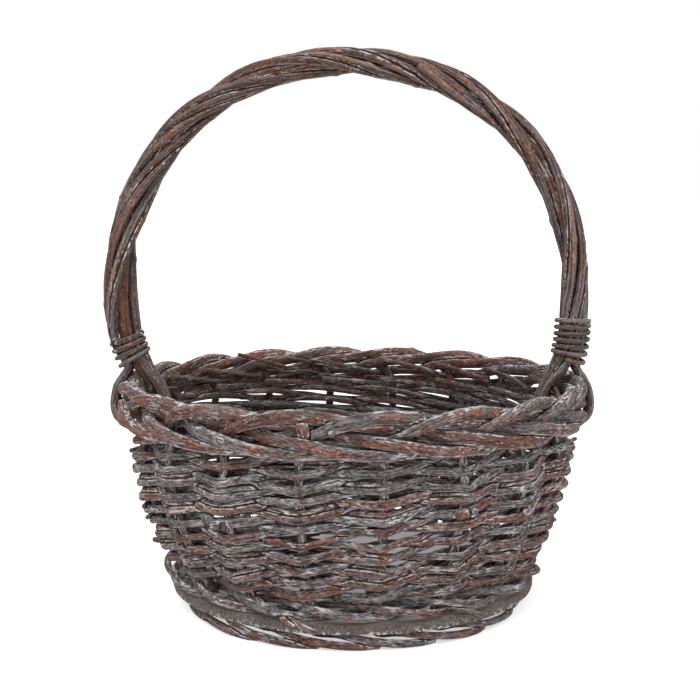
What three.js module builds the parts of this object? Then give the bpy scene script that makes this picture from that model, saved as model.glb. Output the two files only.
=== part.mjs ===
// A round willow basket with a drilled board for its base and a fixed hoop handle.
// Millimetres, +Z up. The origin is the centre of the foot, on the surface that the basket stands on.
// Eighteen stakes pass through the board. Below it their lower ends are turned down into the foot,
// and above the wall their upper ends are turned down into the border.
// The wall is a band of three-rod waling with French randing above it: eighteen weavers start
// side by side, and each goes in front of one stake and behind the next as it climbs.
// The handle is a bow with its two ends pushed into the wall, seven rods twisted round it,
// and a binding on each leg.

import * as THREE from "three";

const clearance = 0.3;
const TURN = 2 * Math.PI;

// The base board
const boardRadius = 108.6;
const boardThickness = 6.4;
const footHeight = 9.5;
const boardSides = 72;
const holeSides = 6;

// The stakes, and the wall that they set out
const stakeCount = 18;
const stakeRadius = 3;
const boardMargin = 10.1;
const flareWidth = 29;
const straightRise = 1;
const flareHeight = 95;
const flarePower = 1.9;
const wallSteps = 5;
const rodSides = 6;

// The foot, made of the stakes' lower ends
const footRodRadius = 2.3;

// The waling
const walingRods = 3;
const walingRadius = 2.3;
const walingSwell = 3.3;
const walingSides = 5;
const walingSteps = 2;

// The randing
const weaverHalfWidth = 2.2;
const weaverHalfHeight = 1.75;
const rowPitch = 3.9;
const weaverStrokes = 22;
const weaverTuck = 0.1;

// The border, made of the stakes' upper ends. It starts below the top of the randing, so that
// its lowest rods lie outside the wall. The stakes are drawn in below it.
const borderDrop = 3.6;
const borderInset = 4;

// The handle. Above the border it leans towards -X, and it is fuller at its shoulders than
// half a circle.
const handleRise = 71;
const handleSpread = 11.5;
const handleLean = 3;
const leanFoot = 15;
const leanFull = 60;
const handleShoulder = 2.4;
const coreRadius = 4;
const coreTipRadius = 1.6;
const coreNeckRadius = 2.8;
const tipMargin = 2;
const neckRise = 18;
const fullRise = 41;
const wrapRadius = 2.1;
const wrapPlaces = 8;
const wrapTurns = 2.5;
const wrapSides = 5;
const wrapStepsPerTurn = 10;
const innerSpread = 1.25;

// The bindings
const bindingRadius = 1.35;
const bindingFoot = 31;
const bundleMargin = 1;
const bindingSteps = 20;
const bindingStart = 0.75;
const leftTurns = 4;
const leftPitch = 4;
const rightTurns = 6;
const rightPitch = 4;
const bindingTail = 8.6;

// Circles, levels and angles that follow from the sizes above
const holeCircle = boardRadius - boardMargin;
const rimCircle = holeCircle + flareWidth - borderInset;
const spacing = TURN / stakeCount;
const boardTop = footHeight + boardThickness;
const flareStart = boardTop + straightRise;
const walingLevel = boardTop + clearance + walingRadius + walingSwell * Math.sin(TURN / 6);
const walingTop = walingLevel + walingSwell * Math.sin(TURN / 6) + walingRadius;
const randingStart = walingTop + clearance + weaverHalfHeight;
const randingTop = randingStart + weaverStrokes * rowPitch + weaverHalfHeight;
const borderBase = randingTop - borderDrop;
const drawnHeight = (borderBase - flareStart) / wallSteps;
const flat = Math.cos(Math.PI / rodSides);

// The radius of the ring of stakes at a height. Over the last of the wall's steps the ring
// is drawn in to the border.
function ringAt(z) {
  const rise = THREE.MathUtils.clamp((z - flareStart) / flareHeight, 0, 1);
  const drawn = THREE.MathUtils.clamp(1 - (borderBase - z) / drawnHeight, 0, 1);
  return holeCircle + flareWidth * (1 - (1 - rise) ** flarePower) - drawn * borderInset;
}

// How far the stakes lean out at a height, as the cosine of the angle
function leanAt(z) {
  const rise = 1;
  const run = ringAt(z + rise / 2) - ringAt(z - rise / 2);
  return rise / Math.hypot(rise, run);
}

// A point from an angle, a radius and a height
function polar(angle, radius, z) {
  return new THREE.Vector3(radius * Math.cos(angle), radius * Math.sin(angle), z);
}

function radial(point) {
  return new THREE.Vector3(point.x, point.y, 0).normalize();
}

function lerp(from, to, share) {
  return from + (to - from) * THREE.MathUtils.clamp(share, 0, 1);
}

// A closed rod along a list of stations. Each has a point, the direction of its outer side,
// and half its width and height.
function rodGeometry(stations, sides) {
  const positions = [];
  const last = stations.length - 1;
  stations.forEach((station, i) => {
    const before = stations[Math.max(i - 1, 0)].point;
    const after = stations[Math.min(i + 1, last)].point;
    const along = new THREE.Vector3();
    if (i > 0) along.add(station.point.clone().sub(before).normalize());
    if (i < last) along.add(after.clone().sub(station.point).normalize());
    along.normalize();
    const out = station.outward.clone();
    out.addScaledVector(along, -out.dot(along)).normalize();
    const up = new THREE.Vector3().crossVectors(along, out);
    for (let j = 0; j < sides; j += 1) {
      const angle = (TURN * j) / sides;
      const corner = station.point.clone();
      corner.addScaledVector(out, station.halfWidth * Math.cos(angle));
      corner.addScaledVector(up, station.halfHeight * Math.sin(angle));
      positions.push(corner.x, corner.y, corner.z);
    }
  });
  const faces = [];
  for (let i = 0; i < last; i += 1) {
    for (let j = 0; j < sides; j += 1) {
      const here = i * sides + j;
      const beside = i * sides + ((j + 1) % sides);
      faces.push(here, beside, beside + sides);
      faces.push(here, beside + sides, here + sides);
    }
  }
  for (let j = 1; j < sides - 1; j += 1) {
    faces.push(0, j + 1, j);
    faces.push(last * sides, last * sides + j, last * sides + j + 1);
  }
  const geometry = new THREE.BufferGeometry();
  geometry.setAttribute("position", new THREE.Float32BufferAttribute(positions, 3));
  geometry.setIndex(faces);
  geometry.computeVertexNormals();
  return geometry;
}

// A station of a rod with a round section
function station(point, radius, outward = radial(point)) {
  return { point, outward, halfWidth: radius, halfHeight: radius };
}

// The board is a plain disc with a hole for each stake.
function boardGeometry() {
  const outline = new THREE.Shape();
  outline.setFromPoints(circlePoints(0, 0, boardRadius, boardSides));
  const holeRadius = (stakeRadius + clearance) / Math.cos(Math.PI / holeSides);
  for (let k = 0; k < stakeCount; k += 1) {
    const angle = stakeAngle(k);
    const x = holeCircle * Math.cos(angle);
    const y = holeCircle * Math.sin(angle);
    outline.holes.push(new THREE.Path(circlePoints(x, y, holeRadius, holeSides)));
  }
  return new THREE.ExtrudeGeometry(outline, { depth: boardThickness, bevelEnabled: false });
}

function circlePoints(x, y, radius, count) {
  return Array.from({ length: count }, (_, i) => {
    const angle = (TURN * (i + 0.5)) / count;
    return new THREE.Vector2(x + radius * Math.cos(angle), y + radius * Math.sin(angle));
  });
}

// The handle core stands beside its stake, so the ring of stakes is turned to bring
// the two legs onto the X axis.
function coreRadiusAt(z) {
  if (z < legNeck) return lerp(coreTipRadius, coreNeckRadius, (z - coreTip) / (legNeck - coreTip));
  return lerp(coreNeckRadius, coreRadius, (z - legNeck) / (legFull - legNeck));
}

const coreTip = walingTop + tipMargin;
const legNeck = borderBase + neckRise;
const legFull = borderBase + fullRise;

function coreBesideStake() {
  let widest = 0;
  for (let z = coreTip; z <= randingTop; z += rowPitch) {
    const apart = stakeRadius + coreRadiusAt(z) + clearance;
    widest = Math.max(widest, Math.asin(apart / ringAt(z)));
  }
  return widest;
}

const coreAngle = coreBesideStake();

function stakeAngle(k) {
  return k * spacing - coreAngle;
}

// A stake is one rod, drawn from the butt in the foot to the tip in the border.
// The foot's turns are: stake spacings travelled, foot rod diameters beyond the ring of holes,
// and the share of the way from the ground to the board. The rod turns out under the board,
// passes outside the next stake and ends flat on the ground.
const footLow = footRodRadius * flat;
const footHigh = footHeight - clearance - footRodRadius;
const footTurns = [
  [2.15, 0.82, 0],
  [1.92, 1.18, 0],
  [1.75, 1.53, 0.04],
  [1.5, 1.71, 0.5],
  [1.15, 1.51, 1],
  [0.5, 0.79, 1],
  [0.06, 0.29, 0.88],
];

// The border's turns are: stake spacings travelled, then stake diameters out from the rim circle
// and up from the border's base. The rod comes from behind the rods laid before it, crosses them
// to the top edge, dips inside the next two, comes out again and ends low outside the wall.
const borderTurns = [
  [0.04, 0.31, 0.81],
  [0.09, 0.77, 1.27],
  [0.25, 1.66, 1.84],
  [0.51, 2.15, 2.66],
  [0.73, 2.04, 3.17],
  [1.16, 1.36, 3.22],
  [1.44, 0.92, 2.7],
  [1.8, 1.28, 2.24],
  [2.15, 0.57, 2.43],
  [2.34, 0.4, 1.97],
  [2.56, 0.96, 1.29],
  [2.85, 1.85, 1.1],
  [3.11, 2.24, 0.85],
  [3.5, 2.25, 0.24],
  [3.87, 2.02, -0.03],
  [4.14, 1.73, -0.07],
  [4.45, 1.07, -0.01],
];

function stakeGeometry() {
  const stations = footTurns.map(([steps, out, rise]) => {
    const radius = holeCircle + out * 2 * footRodRadius;
    return station(polar(steps * spacing, radius, lerp(footLow, footHigh, rise)), footRodRadius);
  });
  stations.push(station(polar(0, holeCircle, footHeight - clearance), stakeRadius));
  for (let i = 0; i <= wallSteps; i += 1) {
    const z = lerp(flareStart, borderBase - clearance, i / wallSteps);
    stations.push(station(polar(0, ringAt(z), z), stakeRadius));
  }
  const diameter = 2 * stakeRadius;
  borderTurns.forEach(([steps, out, up]) => {
    const point = polar(steps * spacing, rimCircle + out * diameter, borderBase + up * diameter);
    stations.push(station(point, stakeRadius));
  });
  return rodGeometry(stations, rodSides);
}

// The three waling rods turn round the ring of stakes like the strands of a rope.
// At each stake two of them lie outside, one on the other, and the third lies inside.
function walingGeometry(rod) {
  const apart = (stakeRadius + walingRadius + clearance) / leanAt(flareStart + walingRadius);
  const swing = (2 * apart) / (1 + Math.cos(TURN / 6));
  const shift = apart - swing / 2;
  const first = rod + 2 + weaverTuck / 2;
  const last = first + stakeCount - weaverTuck;
  const stations = [];
  const steps = stakeCount * walingSteps;
  for (let i = 0; i <= steps; i += 1) {
    const at = THREE.MathUtils.clamp(rod + 2 + i / walingSteps, first, last);
    const turn = TURN / 6 - (TURN * (at - rod)) / walingRods;
    const z = walingLevel + walingSwell * Math.sin(turn);
    const radius = ringAt(z) + shift + swing * Math.cos(turn);
    stations.push(station(polar(stakeAngle(at), radius, z), walingRadius));
  }
  return rodGeometry(stations, walingSides);
}

// The posts that the weavers go round: every stake, and the two ends of the handle,
// each on the same side of the weavers as the stake beside it.
function postsOf(first, strokes) {
  const posts = [];
  for (let k = first; k <= first + strokes; k += 1) {
    posts.push({ angle: stakeAngle(k), stake: k, core: false });
    if (k % (stakeCount / 2) === 0) {
      posts.push({ angle: stakeAngle(k) + coreAngle, stake: k, core: true });
    }
  }
  return posts;
}

function weaverGeometry(first) {
  const section = (point) => ({
    point,
    outward: radial(point),
    halfWidth: weaverHalfWidth,
    halfHeight: weaverHalfHeight / flat,
  });
  const heightAt = (angle) => randingStart + (rowPitch * (angle - stakeAngle(first))) / spacing;
  const tuck = weaverTuck * spacing;
  const posts = postsOf(first, weaverStrokes);
  const slant = Math.cos(Math.atan((2 * (stakeRadius + weaverHalfWidth)) / (holeCircle * spacing)));
  const points = posts.map(({ angle, stake, core }) => {
    const z = heightAt(angle);
    const side = (stake - first) % 2 === 1 ? 1 : -1;
    const postRadius = core ? coreRadiusAt(z) : stakeRadius;
    const apart = (postRadius + weaverHalfWidth + clearance) / leanAt(z) / slant;
    const ring = core ? legAt(z) : ringAt(z);
    return polar(angle, ring + side * apart, z);
  });
  const start = posts[0].angle - tuck;
  const end = posts[posts.length - 1].angle + tuck;
  points.unshift(polar(start, Math.hypot(points[0].x, points[0].y), heightAt(start)));
  const tip = points[points.length - 1];
  points.push(polar(end, Math.hypot(tip.x, tip.y), heightAt(end)));
  return rodGeometry(points.map(section), rodSides);
}

// The bow of the handle, from the tip in the right-hand side of the wall, over the top,
// to the tip in the left-hand side. Each leg passes inside the border's rods. Its turns are:
// stake diameters above the border's base, and the share of the handle's spread.
const handleCentre = borderBase + handleRise;
const handleRadius = rimCircle + handleSpread;
const archSteps = 14;
const coreTuck = 0.226;
const legTurns = [
  [0.83, -0.165],
  [1.67, -coreTuck],
  [2.5, -coreTuck],
  [3.5, 0.009],
  [4.5, 0.33],
  [5.5, 0.57],
  [6.5, 0.72],
  [7.5, 0.83],
  [8.5, 0.9],
  [10, 0.97],
];

function bowLeg() {
  const leg = [0, 0.25, 0.5, 0.75, 1].map((share) => {
    const z = lerp(coreTip, borderBase - 2 * clearance, share);
    return new THREE.Vector3(ringAt(z), 0, z);
  });
  legTurns.forEach(([up, share]) => {
    const z = borderBase + up * 2 * stakeRadius;
    leg.push(new THREE.Vector3(rimCircle + share * handleSpread, 0, z));
  });
  return leg;
}

// The distance of a leg's centre line from the basket's axis at a height
function legAt(z) {
  const leg = bowLeg();
  const above = Math.max(leg.findIndex((point) => point.z > z), 1);
  const lower = leg[above - 1];
  const upper = leg[above];
  return lerp(lower.x, upper.x, (z - lower.z) / (upper.z - lower.z));
}

// How far the handle leans towards -X at a height
function handleLeanAt(z) {
  return handleLean * THREE.MathUtils.smoothstep(z, borderBase + leanFoot, borderBase + leanFull);
}

function bowPoints() {
  const leg = bowLeg();
  const arch = Array.from({ length: archSteps + 1 }, (_, i) => {
    const angle = (Math.PI * i) / archSteps;
    const radius = handleRadius + handleShoulder * Math.sin(2 * angle) ** 2;
    return new THREE.Vector3(radius * Math.cos(angle), 0, handleCentre + radius * Math.sin(angle));
  });
  const mirrored = leg.map((point) => new THREE.Vector3(-point.x, 0, point.z)).reverse();
  const points = [...leg, ...arch, ...mirrored];
  points.forEach((point) => {
    point.x -= handleLeanAt(point.z);
  });
  return points;
}

const bow = new THREE.CatmullRomCurve3(bowPoints(), false, "centripetal");
const bowLength = bow.getLength();

function coreGeometry() {
  const stations = bowPoints().map((point) => station(point, coreRadiusAt(point.z), sideways()));
  return rodGeometry(stations, rodSides);
}

function sideways() {
  return new THREE.Vector3(0, 1, 0);
}

// The share of the bow's length at which its right leg reaches a height
function bowShareAt(height) {
  let low = 0;
  let high = 0.5;
  for (let i = 0; i < 40; i += 1) {
    const middle = (low + high) / 2;
    if (bow.getPointAt(middle).z < height) low = middle;
    else high = middle;
  }
  return (low + high) / 2;
}

// A point at a distance from the bow's centre line, at a share of its length and a turn
// counted from the outer side of the arch
function aroundBow(share, turn, distance) {
  const along = bow.getTangentAt(share);
  const outer = new THREE.Vector3().crossVectors(sideways(), along);
  const outward = outer.multiplyScalar(Math.cos(turn)).addScaledVector(sideways(), Math.sin(turn));
  const point = bow.getPointAt(share).addScaledVector(outward, distance);
  return { point, outward };
}

const bundleFoot = borderBase + bindingFoot - bundleMargin;
const wrapDistance = coreRadius + wrapRadius + clearance;
const borderDepth = Math.max(...borderTurns.map(([, out]) => out)) * 2 * stakeRadius;
const outsideBorder = rimCircle + borderDepth + stakeRadius + clearance + wrapRadius;
const insideCore = rimCircle - coreTuck * handleSpread - coreNeckRadius - clearance - wrapRadius;

// Below the binding the rods part. Three pass outside the border and tuck in under it,
// and the other four pass inside it. The turns are: rod diameters above the border's base,
// and rod diameters out from the place beside the border or the core. The leg is the one
// on +X, and the rod's turn is counted from the outer side.
const outerTurns = [
  [5.36, -1.5],
  [3.81, -0.5],
  [2.03, -0.05],
  [0.72, 0],
  [-0.59, -0.38],
  [-1.78, -1.74],
];
const innerTurns = [
  [3.81, 0],
  [1.7, -0.78],
  [-0.6, -0.85],
];
const wrapDiameter = 2 * wrapRadius;
const wrapGap = wrapDiameter + clearance;

function legPoints(turn) {
  if (Math.cos(turn) > 0.1) {
    const y = (Math.sin(turn) / Math.sin(TURN / wrapPlaces)) * wrapGap;
    return outerTurns.map((step) => legPoint(outsideBorder, y, step));
  }
  const place = Math.round((turn / TURN) * wrapPlaces);
  const y = ((wrapPlaces + 1) / 2 - place) * wrapGap * innerSpread;
  return innerTurns.map((step) => legPoint(insideCore, y, step));
}

function legPoint(radius, y, [up, out]) {
  return new THREE.Vector3(radius + out * wrapDiameter, y, borderBase + up * wrapDiameter);
}

function positiveTurn(turn) {
  return ((turn % TURN) + TURN) % TURN;
}

function wrapGeometry(place) {
  const startTurn = (TURN * place) / wrapPlaces;
  const foot = bowShareAt(bundleFoot);
  const steps = Math.ceil(wrapTurns * wrapStepsPerTurn);
  // The bow bends most at the bindings, so the rods have one more station beside each.
  const places = Array.from({ length: steps + 1 }, (_, i) => i);
  places.splice(1, 0, 0.5);
  places.splice(-1, 0, steps - 0.5);
  const stations = [];
  legPoints(startTurn)
    .reverse()
    .forEach((point) => stations.push(station(point, wrapRadius, polar(startTurn, 1, 0))));
  places.forEach((at) => {
    const share = lerp(foot, 1 - foot, at / steps);
    const turn = startTurn + (TURN * wrapTurns * at) / steps;
    const { point, outward } = aroundBow(share, turn, wrapDistance);
    stations.push(station(point, wrapRadius, outward));
  });
  const endTurn = positiveTurn(-(startTurn + TURN * wrapTurns));
  legPoints(endTurn).forEach((point) => {
    const turned = new THREE.Vector3(-point.x, -point.y, point.z);
    stations.push(station(turned, wrapRadius, polar(endTurn + Math.PI, 1, 0)));
  });
  return rodGeometry(stations, wrapSides);
}

// A binding is wound round the rods of one leg from its foot upwards.
const bindingDistance = wrapDistance + wrapRadius + clearance + bindingRadius;

function bindingStations(turns, pitch, isLeft) {
  const foot = bowShareAt(borderBase + bindingFoot);
  const stations = [];
  const steps = Math.round(turns * bindingSteps);
  for (let i = 0; i <= steps; i += 1) {
    const climbed = foot + (pitch * i) / bindingSteps / bowLength;
    const share = isLeft ? 1 - climbed : climbed;
    const turn = TURN * (i / bindingSteps + bindingStart) * (isLeft ? -1 : 1);
    const { point, outward } = aroundBow(share, turn, bindingDistance);
    stations.push(station(point, bindingRadius, outward));
  }
  return stations;
}

// The two ends of a binding run straight on.
function withTails(stations, footTail, headTail) {
  const [first, second] = stations;
  const [beforeLast, last] = stations.slice(-2);
  const straight = (from, through, length, outward) => {
    const way = through.point.clone().sub(from.point).normalize();
    return station(through.point.clone().addScaledVector(way, length), bindingRadius, outward);
  };
  const foot = straight(second, first, footTail, first.outward);
  const head = straight(beforeLast, last, headTail, last.outward);
  return [foot, ...stations, head];
}

// The least distance between two turns of a winding, less the rod's own thickness
function leastGap(stations, stepsPerTurn, radius) {
  let least = Infinity;
  for (let i = 0; i < stations.length; i += 1) {
    for (let j = i + Math.floor(stepsPerTurn / 2); j < stations.length; j += 1) {
      least = Math.min(least, stations[i].point.distanceTo(stations[j].point) - 2 * radius);
    }
  }
  return least;
}

// The group of parts, each with its own material
const basket = new THREE.Group();

function addPart(name, geometry, color, turn = 0) {
  const material = new THREE.MeshStandardMaterial({ color, roughness: 0.8, metalness: 0 });
  const mesh = new THREE.Mesh(geometry, material);
  mesh.name = name;
  mesh.rotation.z = turn;
  basket.add(mesh);
  return mesh;
}

function numbered(name, number, digits = 2) {
  return `${name}_${String(number).padStart(digits, "0")}`;
}

const board = addPart("base_board", boardGeometry(), "#6f6a60");
board.position.z = footHeight;

for (let k = 0; k < stakeCount; k += 1) {
  addPart(numbered("stake", k + 1), stakeGeometry(), "#6e4f40", stakeAngle(k));
}

for (let rod = 0; rod < walingRods; rod += 1) {
  addPart(numbered("waling_rod", rod + 1, 1), walingGeometry(rod), "#5b4a42");
}

for (let k = 0; k < stakeCount; k += 1) {
  addPart(numbered("weaver", k + 1), weaverGeometry(k), "#5f4c43");
}

addPart("handle_bow", coreGeometry(), "#6b3a2e");

const emptyPlace = 2;
let wrapNumber = 1;
for (let place = 0; place < wrapPlaces; place += 1) {
  if (place !== emptyPlace) {
    addPart(numbered("handle_rod", wrapNumber, 1), wrapGeometry(place), "#6a5145");
    wrapNumber += 1;
  }
}

const leftBinding = bindingStations(leftTurns, leftPitch, true);
const rightBinding = bindingStations(rightTurns, rightPitch, false);
console.log("least gap in the left binding", leastGap(leftBinding, bindingSteps, bindingRadius));
console.log("least gap in the right binding", leastGap(rightBinding, bindingSteps, bindingRadius));
const shortTail = 2 * bindingRadius;
addPart("binding_left", rodGeometry(withTails(leftBinding, shortTail, shortTail), rodSides), "#5a4034");
addPart("binding_right", rodGeometry(withTails(rightBinding, shortTail, bindingTail), rodSides), "#5a4034");

export default basket;
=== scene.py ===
import random
from collections import defaultdict
from math import asin, atan, copysign, cos, exp, hypot, pi, radians, sin, sqrt

import bpy
import numpy as np
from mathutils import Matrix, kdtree
from numpy.linalg import norm

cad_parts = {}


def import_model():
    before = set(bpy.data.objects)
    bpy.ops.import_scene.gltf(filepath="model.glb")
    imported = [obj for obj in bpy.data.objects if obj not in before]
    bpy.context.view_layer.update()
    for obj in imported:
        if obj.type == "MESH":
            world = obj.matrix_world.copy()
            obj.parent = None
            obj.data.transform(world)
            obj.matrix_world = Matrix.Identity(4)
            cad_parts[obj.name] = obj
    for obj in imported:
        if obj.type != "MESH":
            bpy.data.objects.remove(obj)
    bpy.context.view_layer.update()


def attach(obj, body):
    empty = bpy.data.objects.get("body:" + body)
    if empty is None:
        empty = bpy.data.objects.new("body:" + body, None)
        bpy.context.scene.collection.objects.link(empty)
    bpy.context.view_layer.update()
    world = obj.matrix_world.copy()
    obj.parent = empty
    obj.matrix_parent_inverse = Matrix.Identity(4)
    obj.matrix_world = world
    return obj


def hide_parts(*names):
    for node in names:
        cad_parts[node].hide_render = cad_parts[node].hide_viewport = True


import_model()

# Lengths are in millimetres until a mesh is made, and MM turns them into metres.
MM = 0.001
TURN = 2 * pi

# The basket's own sizes, as in the frame
CLEARANCE = 0.3
BOARD_RADIUS = 108.6
BOARD_THICKNESS = 6.4
FOOT_HEIGHT = 9.5
BOARD_MARGIN = 10.1
STAKES = 18
STAKE_RADIUS = 3.0
FLARE_WIDTH = 29.0
FLARE_HEIGHT = 95.0
FLARE_POWER = 1.9
STRAIGHT_RISE = 1.0
FOOT_ROD_RADIUS = 2.3
WALING_RODS = 3
WALING_RADIUS = 2.3
WALING_SWELL = 3.3
WEAVER_WIDTH = 2.2
WEAVER_HEIGHT = 1.75
ROW_PITCH = 3.9
STROKES = 22
TUCK = 0.1
BORDER_DROP = 3.6
BORDER_INSET = 4.0
WALL_STEPS = 5
HANDLE_RISE = 71.0
HANDLE_SPREAD = 11.5
HANDLE_LEAN = 3.0
LEAN_FOOT, LEAN_FULL = 15.0, 60.0
HANDLE_SHOULDER = 2.4
CORE_RADIUS = 4.0
CORE_TIP_RADIUS = 1.6
CORE_NECK_RADIUS = 2.8
TIP_MARGIN = 2.0
NECK_RISE = 18.0
FULL_RISE = 41.0
CORE_TUCK = 0.226
ARCH_STEPS = 14
WRAP_RADIUS = 2.1
WRAP_PLACES = 8
WRAP_TURNS = 2.5
EMPTY_PLACE = 2
INNER_SPREAD = 1.25
BINDING_RADIUS = 1.35
BINDING_FOOT = 31.0
BUNDLE_MARGIN = 1.0
LEFT_TURNS, LEFT_PITCH = 4, 4.0
RIGHT_TURNS, RIGHT_PITCH = 6, 4.0
SHORT_TAIL = 2 * BINDING_RADIUS
LONG_TAIL = 8.6
BINDING_START = 0.75

SPACING = TURN / STAKES
HOLE_CIRCLE = BOARD_RADIUS - BOARD_MARGIN
RIM_CIRCLE = HOLE_CIRCLE + FLARE_WIDTH - BORDER_INSET
BOARD_TOP = FOOT_HEIGHT + BOARD_THICKNESS
FLARE_START = BOARD_TOP + STRAIGHT_RISE
HALF_SWELL = WALING_SWELL * sin(TURN / 6)
WALING_LEVEL = BOARD_TOP + CLEARANCE + WALING_RADIUS + HALF_SWELL
WALING_TOP = WALING_LEVEL + HALF_SWELL + WALING_RADIUS
RANDING_START = WALING_TOP + CLEARANCE + WEAVER_HEIGHT
RANDING_TOP = RANDING_START + STROKES * ROW_PITCH + WEAVER_HEIGHT
BORDER_BASE = RANDING_TOP - BORDER_DROP
DRAWN_HEIGHT = (BORDER_BASE - FLARE_START) / WALL_STEPS
HANDLE_CENTRE = BORDER_BASE + HANDLE_RISE
HANDLE_RADIUS = RIM_CIRCLE + HANDLE_SPREAD
CORE_TIP = WALING_TOP + TIP_MARGIN

# How far apart the rings of points along a rod lie, and how many points a ring has
RING_STEP = 1.5
SIDES = 12

# Each kind of rod has random numbers of its own, from one of these on.
STAKE_SEED, WALING_SEED, WEAVER_SEED, WRAP_SEED = 100, 200, 300, 400
BOW_SEED, BINDING_SEED, TIP_SEED, BOARD_SEED = 500, 600, 700, 7

# The foot is worn flat where it stands.
WORN_LEVEL = 0.05


def lerp(low, high, share):
    return low + (high - low) * min(max(share, 0.0), 1.0)


def faded(depth, reach):
    """0 outside, 1 from a reach inside on, and evenly in between."""
    return np.clip(depth / reach, 0, 1)


def ring_at(z):
    """How far from the basket's axis the middle of the wall is at a height."""
    rise = np.clip((z - FLARE_START) / FLARE_HEIGHT, 0.0, 1.0)
    drawn = np.clip(1 - (BORDER_BASE - z) / DRAWN_HEIGHT, 0.0, 1.0)
    return HOLE_CIRCLE + FLARE_WIDTH * (1 - (1 - rise) ** FLARE_POWER) - drawn * BORDER_INSET


def lean_at(z):
    """How upright the wall is at a height: 1 where it is vertical."""
    return 1 / hypot(1, ring_at(z + 0.5) - ring_at(z - 0.5))


def polar(angle, radius, z):
    return np.array([radius * cos(angle), radius * sin(angle), z])


def unit(vector):
    return vector / max(float(norm(vector)), 1e-9)


def core_radius_at(z):
    neck = BORDER_BASE + NECK_RISE
    if z < neck:
        return lerp(CORE_TIP_RADIUS, CORE_NECK_RADIUS, (z - CORE_TIP) / (neck - CORE_TIP))
    return lerp(CORE_NECK_RADIUS, CORE_RADIUS, (z - neck) / (FULL_RISE - NECK_RISE))


def core_beside_stake():
    """The angle at which the handle's bow clears the stake beside it."""
    widest = 0.0
    z = CORE_TIP
    while z <= RANDING_TOP:
        apart = STAKE_RADIUS + core_radius_at(z) + CLEARANCE
        widest = max(widest, asin(apart / ring_at(z)))
        z += ROW_PITCH
    return widest


CORE_ANGLE = core_beside_stake()


def stake_angle(k):
    return k * SPACING - CORE_ANGLE


# Paths
SPAN_SAMPLES = 10
CORNER_SAMPLES = 7
CORNER_SHARE = 0.48


def smooth(points, step=RING_STEP):
    """A centripetal Catmull-Rom curve through the points, with points at even steps."""
    p = np.array(points, float)
    p = np.vstack([2 * p[0] - p[1], p, 2 * p[-1] - p[-2]])
    dense = []
    for a, b, c, d in zip(p[:-3], p[1:-2], p[2:-1], p[3:]):
        t1 = sqrt(norm(b - a))
        t2 = t1 + sqrt(norm(c - b))
        t3 = t2 + sqrt(norm(d - c))
        for t in np.linspace(t1, t2, SPAN_SAMPLES, endpoint=False):
            ab = (a * (t1 - t) + b * t) / t1
            bc = (b * (t2 - t) + c * (t - t1)) / (t2 - t1)
            cd = (c * (t3 - t) + d * (t - t2)) / (t3 - t2)
            abc = (ab * (t2 - t) + bc * t) / t2
            bcd = (bc * (t3 - t) + cd * (t - t1)) / (t3 - t1)
            dense.append((abc * (t2 - t) + bcd * (t - t1)) / (t2 - t1))
    dense.append(p[-2])
    return even(np.array(dense), step)


def rounded(points, reaches):
    """The straight legs between the points, with each corner rounded over its own reach."""
    p = np.array(points, float)
    dense = [p[0]]
    for a, b, c, reach in zip(p[:-2], p[1:-1], p[2:], reaches[1:]):
        before, after = a - b, c - b
        cut = min(reach, CORNER_SHARE * min(norm(before), norm(after)))
        start, end = b + unit(before) * cut, b + unit(after) * cut
        for t in np.linspace(0, 1, CORNER_SAMPLES):
            dense.append(start * (1 - t) ** 2 + 2 * b * t * (1 - t) + end * t * t)
    dense.append(p[-1])
    return even(np.array(dense))


def lengths_along(points):
    return np.concatenate([[0], np.cumsum(norm(np.diff(points, axis=0), axis=1))])


def even_values(points, values, count):
    lengths = lengths_along(np.array(points))
    return np.interp(np.linspace(0, lengths[-1], count), lengths, values)


def place_at(at, lengths, path):
    return np.stack([np.interp(at, lengths, path[:, axis]) for axis in range(3)], axis=-1)


def even(path, step=RING_STEP):
    """The same path with its points at even steps."""
    lengths = lengths_along(path)
    count = max(int(round(lengths[-1] / step)), 4)
    return place_at(np.linspace(0, lengths[-1], count + 1), lengths, path)


def relaxed(path, share, reach):
    """The path drawn straighter over a reach, as far as the share at each point says."""
    half = int(3 * reach / RING_STEP)
    weights = np.exp(-0.5 * (np.arange(-half, half + 1) * RING_STEP / reach) ** 2)
    weights /= weights.sum()
    longer = np.pad(path, ((half, half), (0, 0)), mode="edge")
    soft = [np.convolve(longer[:, axis], weights, mode="valid") for axis in range(3)]
    soft = np.stack(soft, axis=1)
    flat = np.hypot(path[:, 0], path[:, 1]) / np.maximum(np.hypot(soft[:, 0], soft[:, 1]), 1.0)
    soft[:, :2] *= (0.5 + 0.5 * flat)[:, None]
    return path + share[:, None] * (soft - path)


def wander(rng, count, reach, size, step=RING_STEP):
    """A smooth random line of a given size that turns over a reach."""
    knots = max(int(count * step / reach) + 3, 4)
    values = [rng.uniform(-1, 1) for _ in range(knots)]
    at = np.arange(count) * step / reach + rng.random()
    low = np.floor(at).astype(int)
    share = at - low
    share = share * share * (3 - 2 * share)
    values = np.array(values + values[:2])
    low = np.minimum(low, len(values) - 2)
    return size * (values[low] * (1 - share) + values[low + 1] * share)


# A rod's surface. A pair is a range, or how far apart a line's turns lie and how large they are.
# A ridge's pair is how many of them go round and how high they are.
RIDGES = ((2, 0.035), (3, 0.03), (5, 0.022))
RIDGE_DRIFT = (26, 1.4)
RIDGE_CHANGE = (12, 0.7)
SWELLING = (9, 0.035)
FIRST_BUD = (5, 35)
BUD_APART = (22, 48)
BUD_REACH = (1.6, 2.6)
BUD_HEIGHT = (0.1, 0.26)
BUD_COLLAR = 0.05
BUD_WIDTH = 0.35
BUD_TURN = 0.4 * TURN
LAST_BUD = 4
GRAIN_SHIFT = 400
WARM_CHANGE = (30, 0.22)
DARK_CHANGE = (22, 0.2)

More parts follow.
